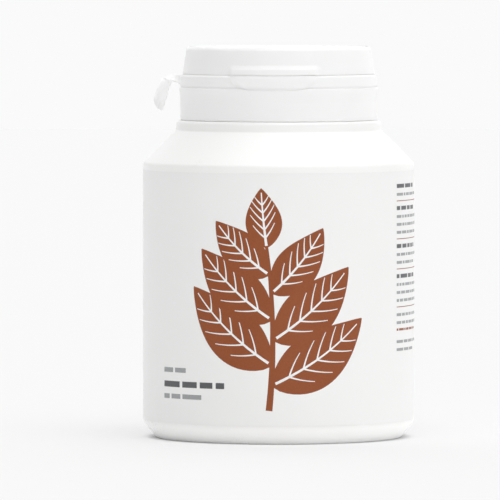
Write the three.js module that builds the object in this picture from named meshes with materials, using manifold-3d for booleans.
// A flip-top capsule bottle: a wide white jar with a wrap-round label and, snapped on its neck, a closure
// moulded in one shot as a ring, a tear-off tamper strip with a pull tab, a thin hinge film and a lid.
// Millimetres, +Z up. The origin is the centre of the ring that the jar stands on.
// The thumb ledge faces -Y, the hinge is at +Y, and the pull tab sticks out to -X.
import * as THREE from "three";
import { mergeVertices } from "three/addons/utils/BufferGeometryUtils.js";
import Module from "manifold-3d";

const wasm = await Module();
wasm.setup();
const { degToRad, radToDeg, smoothstep } = THREE.MathUtils;

// Driving dimensions. Pairs are inner and outer radii, or lower and upper heights.
const SIDES = 72; // sides of the turned solids, alike so that nested walls have parallel facets
const FRONT_SIDES = 144; // for the pieces with a shaped front

const BODY_R = 34.4; // the jar's straight side
const SHOULDER_Z = 69.7; // where the side meets the cone of the shoulder
const FOOT_R = [27.9, 31.1]; // the flat ring that it stands on
const HEEL_Z = 3.9; // where the sloped heel meets the side
const HEEL_FILLET = 3.0;
const PUSH_UP_R = 25.2; // the base inside the foot is pushed up
const PUSH_UP_Z = 2.4;
const BODY_WALL = 1.15;
const BASE_WALL = 1.5;

const NECK_R = [21.0, 22.6];
const RIM_Z = 93.2;
const COLLAR_R = 25.9; // the rounded collar at the foot of the neck
const COLLAR_Z = [78.0, 80.5];
const BEAD_R = 23.2; // the neck's bead, which holds the closure down
const BEAD_Z = [86.9, 87.4];

const LABEL_Z = [4.8, 67.9];
const LABEL_GLUE = 0.04;
const LABEL_THICK = 0.12;

const RING_R = [23.65, 24.95];
const RING_Z = [80.65, 88.85];
const FLARE_R = 25.25; // the ring flares towards its upper rim
const FLARE_Z = [85.2, 88.0]; // where the flare starts, and where it is full
const LIP_R = 22.85; // the lip that clicks under the neck's bead
const LIP_Z = [85.5, 86.1];
const RING_BACK_Z = 91.9; // the ring rises behind the strip, to carry the hinge
const RING_BACK_ARC = 72; // degrees each side of the hinge

const STRIP_R = [24.08, 24.93];
const STRIP_Z = [89.15, 91.9];
const STRIP_ENDS = [-100, 107.3]; // degrees from the front: at the pull tab, and against the raised back
const BRIDGES = 9; // on each edge: the small bridges that tear
const BRIDGE_WIDTH = 0.45;
const BRIDGE_HEIGHT = 0.2;

const TAB_THICK = 0.8;
const TAB_Y = 5.8; // the mid-plane of the tab's flat ribbon
const TAB_ROOT_Z = [89.4, 91.8];
const FOLD_X = [-27.85, -27.6]; // lower and upper end of the fold, where the tongue turns down
const FOLD_Z = [91.8, 90.1];
const TONGUE_LEAN = 15; // degrees out from straight down
const TONGUE_WIDTH = 3.0;
const TONGUE_LENGTH = [7.9, 5.5]; // its inner and its outer edge

const LID_R = 24.4;
const LID_Z = [92.2, 99.1];
const LID_TAPER = 0.15; // how far the side leans in, per millimetre of height
const LID_CORNER = 1.0;
const PANEL_R = [18.6, 22.6]; // the lid's top is a little sunk inside a slope between these radii
const PANEL_DEPTH = 0.15;
const LID_PLATE_Z = 97.8; // underside of its top
const SKIRT_WALL = 1.05;
const PLUG_R = [19.7, 20.8]; // the skirt inside that plugs the bore
const PLUG_Z = 90.0;

const LEDGE_OUT = 0.6; // how far the thumb ledge stands out from the lid
const LEDGE_Z = [93.65, 94.65]; // top of its upright face, and where the slope above meets the lid's side
const LEDGE_ARC = [23.6, 28.2]; // degrees each side of the front where it is full, and where it ends
const PAD_HALF = 11.3; // the pad on the strip under the ledge: half its width, and its height
const PAD_HEIGHT = 4.5;
const PAD_OUT = 0.34;
const PAD_LEAN = 0.22; // how far its top leans back

const HINGE_Y = 25.75;
const HINGE_Z = 92.2;
const LUG_Y = 25.3; // the flat backs of the two hinge lugs
const LUG_HALF = 9;
const LUG_HEIGHT = 4.2;
const FILM_SIZE = [17.2, 0.3, 1.5];

// Corners [x, y, fillet] to the points of an outline, with an arc at each fillet.
function outline(corners, closed = false) {
  const points = corners.flatMap(([x, y, fillet], i) => {
    const corner = new THREE.Vector2(x, y);
    if (!fillet) return [corner];
    const towards = ([u, v]) => new THREE.Vector2(u, v).sub(corner).normalize();
    const back = towards(corners.at(i - 1));
    const ahead = towards(corners[(i + 1) % corners.length]);
    const half = Math.acos(back.dot(ahead)) / 2;
    const start = corner.clone().addScaledVector(back, fillet / Math.tan(half));
    const centre = back.clone().add(ahead).setLength(fillet / Math.sin(half)).add(corner);
    const turn = Math.sign(ahead.cross(back)) * (Math.PI - 2 * half);
    const steps = Math.ceil(1.5 * Math.sqrt(fillet));
    const stop = (k) => start.clone().rotateAround(centre, (turn * k) / steps);
    return Array.from({ length: steps + 1 }, (_, k) => stop(k));
  });
  return closed ? [...points, points[0].clone()] : points;
}

// Turns an outline of radii and heights about +Z. Its angles start at the front and grow towards +X.
function turned(points, sides = SIDES) {
  return new THREE.LatheGeometry(points, sides).rotateX(Math.PI / 2);
}

function tube([inner, outer], [low, high], sides = SIDES) {
  const corners = [[inner, low], [outer, low], [outer, high], [inner, high]];
  return turned(outline(corners, true), sides);
}

function cylinder(radius, [low, high]) {
  return turned(outline([[0, low], [radius, low], [radius, high], [0, high]]));
}

// A block over the angles from one to another, in degrees from the front towards +X.
function sector(from, to, [low, high]) {
  const reach = 2 * BODY_R;
  const steps = Math.ceil((to - from) / 20);
  const shape = new THREE.Shape([new THREE.Vector2(0, 0)]);
  for (let i = 0; i <= steps; i++) {
    const angle = degToRad(THREE.MathUtils.lerp(from, to, i / steps));
    shape.lineTo(reach * Math.sin(angle), -reach * Math.cos(angle));
  }
  return new THREE.ExtrudeGeometry(shape, { depth: high - low, bevelEnabled: false }).translate(0, 0, low);
}

// A closed geometry as a solid that can be joined and cut.
function solid(geometry) {
  const bare = geometry.clone();
  bare.deleteAttribute("normal");
  bare.deleteAttribute("uv");
  const merged = mergeVertices(bare, 1e-3);
  const corners = merged.index.array;
  const triangles = [];
  for (let i = 0; i < corners.length; i += 3) {
    const [a, b, c] = corners.slice(i, i + 3);
    if (a !== b && b !== c && c !== a) triangles.push(a, b, c);
  }
  const vertProperties = merged.attributes.position.array;
  const triVerts = Uint32Array.from(triangles);
  return new wasm.Manifold(new wasm.Mesh({ numProp: 3, vertProperties, triVerts }));
}

function geometryOf(joined) {
  const { vertProperties, triVerts } = joined.getMesh();
  const geometry = new THREE.BufferGeometry();
  geometry.setAttribute("position", new THREE.BufferAttribute(vertProperties, 3));
  geometry.setIndex(new THREE.BufferAttribute(triVerts, 1));
  return geometry;
}

// Moves each vertex outwards by push(degrees from the front, height, radius).
function pushed(geometry, push) {
  const position = geometry.attributes.position;
  for (let i = 0; i < position.count; i++) {
    const [x, y, z] = [position.getX(i), position.getY(i), position.getZ(i)];
    const radius = Math.hypot(x, y);
    const scale = 1 + push(radToDeg(Math.atan2(x, -y)), z, radius) / radius;
    position.setXY(i, x * scale, y * scale);
  }
  return geometry;
}

// The thumb pad: half an ellipse below the ledge, steep at its edge and leaning back at its top.
function pad(angle, z) {
  if (Math.abs(angle) > 90) return 0;
  const across = (STRIP_R[1] * Math.sin(degToRad(angle))) / PAD_HALF;
  const down = (HINGE_Z - z) / PAD_HEIGHT;
  const inside = Math.max(0, 1 - (across ** 2 + down ** 2) ** 2);
  return inside * (PAD_OUT - PAD_LEAN * Math.max(0, 1 - 2 * down) ** 2);
}

// A lug behind the wall: an outline of y and z drawn across the hinge, and cut clear of the inside.
function lug(corners, wallR) {
  const shape = new THREE.Shape(corners.map(([y, z]) => new THREE.Vector2(y, z)));
  const block = new THREE.ExtrudeGeometry(shape, { depth: 2 * LUG_HALF, bevelEnabled: false });
  block.translate(0, 0, -LUG_HALF);
  block.rotateY(Math.PI / 2).rotateX(Math.PI / 2);
  return solid(block).subtract(solid(cylinder(wallR, [RING_Z[0], LID_Z[1]])));
}

// One blown wall, from the middle of the base up to the rim and back down the inside.
function jar() {
  const inner = BODY_R - BODY_WALL;
  const [foot, heel] = FOOT_R;
  const [bore, neck] = NECK_R;
  const beadOut = BEAD_R - neck;
  return turned(
    outline([
      [0, PUSH_UP_Z],
      [PUSH_UP_R, PUSH_UP_Z, 0.8],
      [foot, 0, 0.4],
      [heel, 0, 0.8],
      [BODY_R, HEEL_Z, HEEL_FILLET],
      [BODY_R, SHOULDER_Z, 1.0],
      [COLLAR_R + 0.2, COLLAR_Z[0], 0.5],
      [COLLAR_R, COLLAR_Z[1], 0.8],
      [neck, COLLAR_Z[1]],
      [neck, BEAD_Z[0] - beadOut],
      [BEAD_R, BEAD_Z[0]],
      [BEAD_R, BEAD_Z[1]],
      [neck, BEAD_Z[1] + beadOut],
      [neck, RIM_Z, 0.4],
      [bore, RIM_Z, 0.4],
      [bore, COLLAR_Z[1] - 1.0],
      [inner, SHOULDER_Z - 0.7],
      [inner, HEEL_Z + 0.5, HEEL_FILLET - BODY_WALL],
      [heel - 0.5, BASE_WALL],
      [foot + 0.7, BASE_WALL],
      [PUSH_UP_R + 0.7, PUSH_UP_Z + BASE_WALL],
      [0, PUSH_UP_Z + BASE_WALL],
    ]),
  );
}

function label() {
  const inner = BODY_R + LABEL_GLUE;
  return tube([inner, inner + LABEL_THICK], LABEL_Z);
}

// The part of the closure that stays on the neck, with the fixed half of the hinge behind.
function closureRing() {
  const [inner, outer] = RING_R;
  const [low, high] = RING_Z;
  const section = [
    [inner, low],
    [outer, low, 0.3],
    [outer, FLARE_Z[0]],
    [FLARE_R, FLARE_Z[1]],
    [FLARE_R, high, 0.25],
    [inner, high],
    [inner, LIP_Z[1] + 0.4],
    [LIP_R, LIP_Z[1]],
    [LIP_R, LIP_Z[0]],
    [inner, LIP_Z[0] - 0.9],
  ];
  const wall = solid(tube(RING_R, [high - 0.5, RING_BACK_Z]));
  const back = wall.intersect(solid(sector(180 - RING_BACK_ARC, 180 + RING_BACK_ARC, [low, LID_Z[1]])));
  const footZ = RING_BACK_Z - LUG_HEIGHT - 1.5;
  const corners = [
    [NECK_R[0], footZ],
    [outer - 0.1, footZ],
    [LUG_Y, footZ + 1.5],
    [LUG_Y, RING_BACK_Z],
    [NECK_R[0], RING_BACK_Z],
  ];
  return geometryOf(solid(turned(outline(section, true))).add(back).add(lug(corners, outer - 0.6)));
}

// The strip's end bends out from the neck into a flat ribbon, and the tab's tongue hangs from that.
function pullTab() {
  const middle = (STRIP_R[0] + STRIP_R[1]) / 2;
  const lag = degToRad(-STRIP_ENDS[0] - 90); // how far past the side the strip ends
  const bendR = (TAB_Y - middle * Math.sin(lag)) / (1 + Math.sin(lag));
  const [centreX, centreY] = [-(middle + bendR) * Math.cos(lag), (middle + bendR) * Math.sin(lag)];
  const start = -lag - 0.15;
  const bend = new THREE.Shape();
  bend.absarc(centreX, centreY, bendR + TAB_THICK / 2, start, Math.PI / 2, false);
  bend.absarc(centreX, centreY, bendR - TAB_THICK / 2, Math.PI / 2, start, true);
  const [low, high] = TAB_ROOT_Z;
  const cut = { depth: high - low, curveSegments: 8, bevelEnabled: false };
  const elbow = new THREE.ExtrudeGeometry(bend, cut).translate(0, 0, low);

  const lean = degToRad(TONGUE_LEAN);
  const onTongue = (down, out, fillet) => [
    FOLD_X[1] - down * Math.sin(lean) - out * Math.cos(lean),
    FOLD_Z[1] - down * Math.cos(lean) + out * Math.sin(lean),
    fillet,
  ];
  const ribbon = outline([
    [centreX + 0.3, low],
    [centreX + 0.3, high],
    [FOLD_X[0], FOLD_Z[0], 0.7],
    onTongue(0, TONGUE_WIDTH, 0.5),
    onTongue(TONGUE_LENGTH[1], TONGUE_WIDTH + 0.2, 0.8),
    onTongue(TONGUE_LENGTH[0], 0, 0.8),
    [FOLD_X[1], FOLD_Z[1], 0.3],
  ], true);
  const shape = new THREE.Shape(ribbon.slice(0, -1));
  const tongue = new THREE.ExtrudeGeometry(shape, { depth: TAB_THICK, bevelEnabled: false });
  tongue.rotateX(Math.PI / 2).translate(0, TAB_Y + TAB_THICK / 2, 0);
  return solid(elbow).add(solid(tongue));
}

// The band that tears off, with the small bridges along its edges.
function tearStrip() {
  const [inner, outer] = STRIP_R;
  const [low, high] = STRIP_Z;
  const [left, right] = STRIP_ENDS;
  const middle = (low + high) / 2;
  const middleR = (inner + outer) / 2;
  const outside = [[outer, low], [outer, middle], [outer, high]];
  const inside = [[inner, high], [inner, middle], [inner, low]];
  const ring = solid(turned(outline([...outside, ...inside], true), FRONT_SIDES));
  let strip = ring.intersect(solid(sector(left, right, [low - 1, high + 1])));
  for (const edge of [low, high]) {
    for (let i = 0; i < BRIDGES; i++) {
      const bridge = new THREE.BoxGeometry(BRIDGE_WIDTH, 0.4, 2 * BRIDGE_HEIGHT);
      bridge.translate(0, -middleR, edge);
      bridge.rotateZ(degToRad(left + (right - left) * ((i + 0.5) / BRIDGES)));
      strip = strip.add(solid(bridge));
    }
  }
  // Only the outer face swells into the pad.
  const swollen = pushed(geometryOf(strip), (angle, z, radius) => (radius > middleR ? pad(angle, z) : 0));
  return geometryOf(solid(swollen).add(pullTab()));
}

const lidSideAt = (z) => LID_R - LID_TAPER * (z - LID_Z[0]);

// A slope above an upright face, standing out from the lid's front and running out at its ends.
function thumbLedge(rootR) {
  const low = LID_Z[0];
  const [edgeZ, slopeTopZ] = LEDGE_Z;
  const edgeR = LID_R + LEDGE_OUT;
  const steepness = (slopeTopZ - edgeZ) / (edgeR - lidSideAt(slopeTopZ));
  const topZ = edgeZ + steepness * (edgeR - rootR);
  const section = outline([[rootR, low], [edgeR, low], [edgeR, edgeZ], [rootR, topZ]], true);
  const reach = LEDGE_ARC[1];
  const front = solid(sector(-reach, reach, [low - 1, topZ + 1]));
  const arc = solid(turned(section, FRONT_SIDES)).intersect(front);
  return solid(
    pushed(geometryOf(arc), (angle, z, radius) => {
      return -smoothstep(Math.abs(angle), ...LEDGE_ARC) * 0.9 * (radius - rootR);
    }),
  );
}

function lid() {
  const [low, high] = LID_Z;
  const [plugIn, plugOut] = PLUG_R;
  const cup = turned(
    outline([
      [0, LID_PLATE_Z],
      [plugIn, LID_PLATE_Z],
      [plugIn, PLUG_Z + 0.4],
      [plugIn + 0.3, PLUG_Z],
      [plugOut - 0.4, PLUG_Z],
      [plugOut, PLUG_Z + 0.8],
      [plugOut, LID_PLATE_Z],
      [lidSideAt(LID_PLATE_Z) - SKIRT_WALL, LID_PLATE_Z],
      [lidSideAt(low) - SKIRT_WALL, low],
      [lidSideAt(low), low],
      [lidSideAt(high), high, LID_CORNER],
      [PANEL_R[1], high],
      [PANEL_R[0], high - PANEL_DEPTH],
      [0, high - PANEL_DEPTH],
    ]),
  );
  const lugTop = low + LUG_HEIGHT;
  const wallR = lidSideAt(lugTop) - 0.5;
  const corners = [
    [PLUG_R[0], low],
    [LUG_Y, low],
    [LUG_Y, low + LUG_HEIGHT / 2],
    [wallR + 0.4, lugTop],
    [PLUG_R[0], lugTop],
  ];
  return geometryOf(solid(cup).add(thumbLedge(wallR)).add(lug(corners, wallR)));
}

// The film that joins the two lugs across the cut, and bends as the lid swings.
function hingeFilm() {
  return new THREE.BoxGeometry(...FILM_SIZE).translate(0, HINGE_Y, HINGE_Z);
}

const jarPlastic = { color: "#f4f3f0", roughness: 0.35, metalness: 0 };
const closurePlastic = { color: "#f1f1f0", roughness: 0.42, metalness: 0 };
const labelFilm = { color: "#ecebe8", roughness: 0.5, metalness: 0 };

const pieces = [
  ["bottle", jar(), jarPlastic],
  ["label", label(), labelFilm],
  ["closure_ring", closureRing(), closurePlastic],
  ["tear_strip", tearStrip(), closurePlastic],
  ["lid", lid(), closurePlastic],
  ["hinge_film", hingeFilm(), closurePlastic],
];

const flipTopBottle = new THREE.Group();
for (const [name, geometry, finish] of pieces) {
  const mesh = new THREE.Mesh(geometry, new THREE.MeshStandardMaterial(finish));
  mesh.name = name;
  flipTopBottle.add(mesh);
}

export default flipTopBottle;
